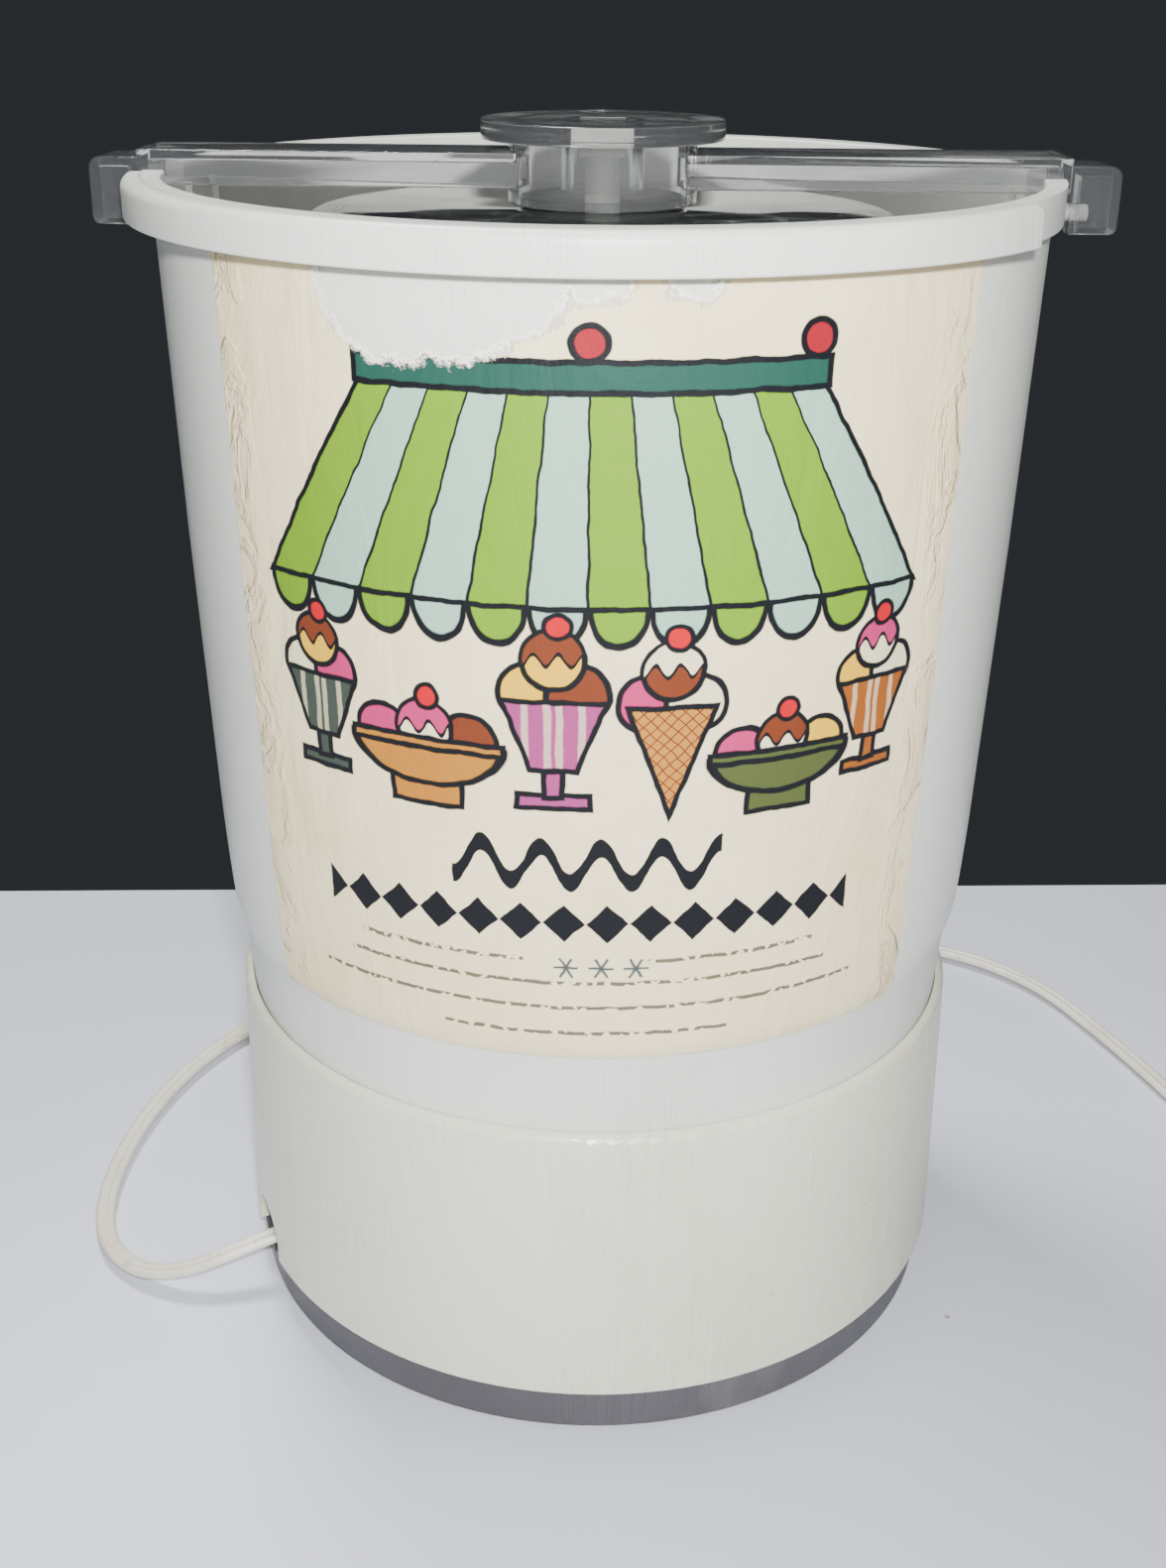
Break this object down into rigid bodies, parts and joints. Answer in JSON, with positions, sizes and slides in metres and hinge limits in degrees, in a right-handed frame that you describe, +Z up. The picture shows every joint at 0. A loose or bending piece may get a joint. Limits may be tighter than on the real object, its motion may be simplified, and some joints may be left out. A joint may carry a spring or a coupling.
{
  "type": "ice cream maker",
  "caption": "Electric ice cream maker with a round motor base, white ice bucket, aluminium can, dasher, clear lid and clear lock bar",
  "frame": {"origin": "on the standing surface under the middle of the base", "axes": "+Z up, the lock bar lies along X, the label faces -Y"},
  "size_m": [0.474, 0.3201, 0.3503],
  "materials": {
    "dark_plastic": "moulded, fine satin grain",
    "cream_plastic": "smooth moulded plastic, lightly yellowed",
    "foot_rubber": "plain",
    "screw_steel": "plated",
    "case_metal": "plain zinc",
    "bronze": "sintered bronze or bare brass",
    "nylon": "natural nylon",
    "lamination": "stacked sheet steel",
    "winding": "taped copper winding",
    "bucket_plastic": "cool white, slightly translucent polyethylene",
    "label_paper": "aged printed paper, torn at the top",
    "can_aluminium": "drawn, dulled",
    "clear_plastic": "clear styrene, lightly scuffed",
    "white_plastic": "moulded white plastic",
    "cord_plastic": "flat two-core cord"
  },
  "bodies": {
    "motor_base": {"base_plate": "dark_plastic", "base_shell": "cream_plastic", "rubber_feet": "foot_rubber", "plate_screws": "screw_steel", "gearbox_case": "case_metal", "gear_pins": "screw_steel", "gearbox_cover": "case_metal", "gearbox_screws": "screw_steel", "output_bushes": "bronze", "motor_stator": "lamination", "motor_coil": "winding", "lower_bearing_bracket": "case_metal", "upper_bearing_bracket": "case_metal", "motor_bushes": "bronze", "motor_screws": "screw_steel", "motor_spacers": "screw_steel", "overload_cutout": "dark_plastic", "wire_connectors": "nylon", "strain_relief": "dark_plastic", "power_cord": "cord_plastic", "cord_tail": "cord_plastic", "cord_coil": "cord_plastic", "cord_tie": "dark_plastic", "plug_body": "cord_plastic", "plug_blades": "bronze"},
    "output": {"output_gear": "nylon", "output_shaft": "screw_steel", "drive_coupler": "nylon"},
    "second_idler": {"second_reduction_gear": "nylon"},
    "first_idler": {"first_reduction_gear": "nylon"},
    "rotor": {"motor_pinion": "screw_steel", "motor_shaft": "screw_steel", "motor_rotor": "lamination", "cooling_fan": "nylon"},
    "ice_bucket": {"bucket": "bucket_plastic", "front_label": "label_paper", "spindle_bush": "bronze", "shaft_seal": "foot_rubber"},
    "can_drive": {"drive_spindle": "screw_steel", "spindle_clip": "screw_steel", "driven_coupler": "nylon"},
    "cream_can": {"can": "can_aluminium", "can_socket": "nylon", "can_pivot": "screw_steel"},
    "lid": {"can_lid": "clear_plastic"},
    "dasher_unit": {"dasher": "white_plastic", "scraper_blades": "white_plastic"},
    "bar": {"lock_bar": "clear_plastic"}
  },
  "joints": [
    {"name": "output_spin", "type": "hinge", "parent": "motor_base", "child": "output", "pos_m": [0, 0, 0.086], "axis": [0, 0, 1], "continuous": true},
    {"name": "second_idler_spin", "type": "hinge", "parent": "motor_base", "child": "second_idler", "pos_m": [-0.02546, 0.02546, 0.08], "axis": [0, 0, 1], "continuous": true},
    {"name": "first_idler_spin", "type": "hinge", "parent": "motor_base", "child": "first_idler", "pos_m": [-0.04266, 0.00088, 0.08], "axis": [0, 0, 1], "continuous": true},
    {"name": "rotor_spin", "type": "hinge", "parent": "motor_base", "child": "rotor", "pos_m": [-0.0495, -0.01791, 0.08], "axis": [0, 0, 1], "continuous": true},
    {"name": "bucket_lift", "type": "slide", "parent": "motor_base", "child": "ice_bucket", "axis": [0, 0, 1], "range_m": [0, 0.2]},
    {"name": "can_drive_spin", "type": "hinge", "parent": "ice_bucket", "child": "can_drive", "pos_m": [0, 0, 0.12], "axis": [0, 0, 1], "continuous": true},
    {"name": "can_lift", "type": "slide", "parent": "can_drive", "child": "cream_can", "axis": [0, 0, 1], "range_m": [0, 0.21]},
    {"name": "lid_lift", "type": "slide", "parent": "cream_can", "child": "lid", "axis": [0, 0, 1], "range_m": [0, 0.24]},
    {"name": "dasher_lift", "type": "slide", "parent": "ice_bucket", "child": "dasher_unit", "axis": [0, 0, 1], "range_m": [0, 0.41]},
    {"name": "bar_lift", "type": "slide", "parent": "ice_bucket", "child": "bar", "axis": [0, 0, 1], "range_m": [0, 0.48]}
  ],
  "couplings": [
    {"joint": "first_idler_spin", "follows": "rotor_spin", "ratio": -0.25},
    {"joint": "second_idler_spin", "follows": "rotor_spin", "ratio": 0.0625},
    {"joint": "output_spin", "follows": "rotor_spin", "ratio": -0.020833},
    {"joint": "can_drive_spin", "follows": "rotor_spin", "ratio": -0.020833},
    {"joint": "can_lift", "follows": "bar_lift", "ratio": 0.4375},
    {"joint": "lid_lift", "follows": "bar_lift", "ratio": 0.5},
    {"joint": "dasher_lift", "follows": "bar_lift", "ratio": 0.85417}
  ]
}
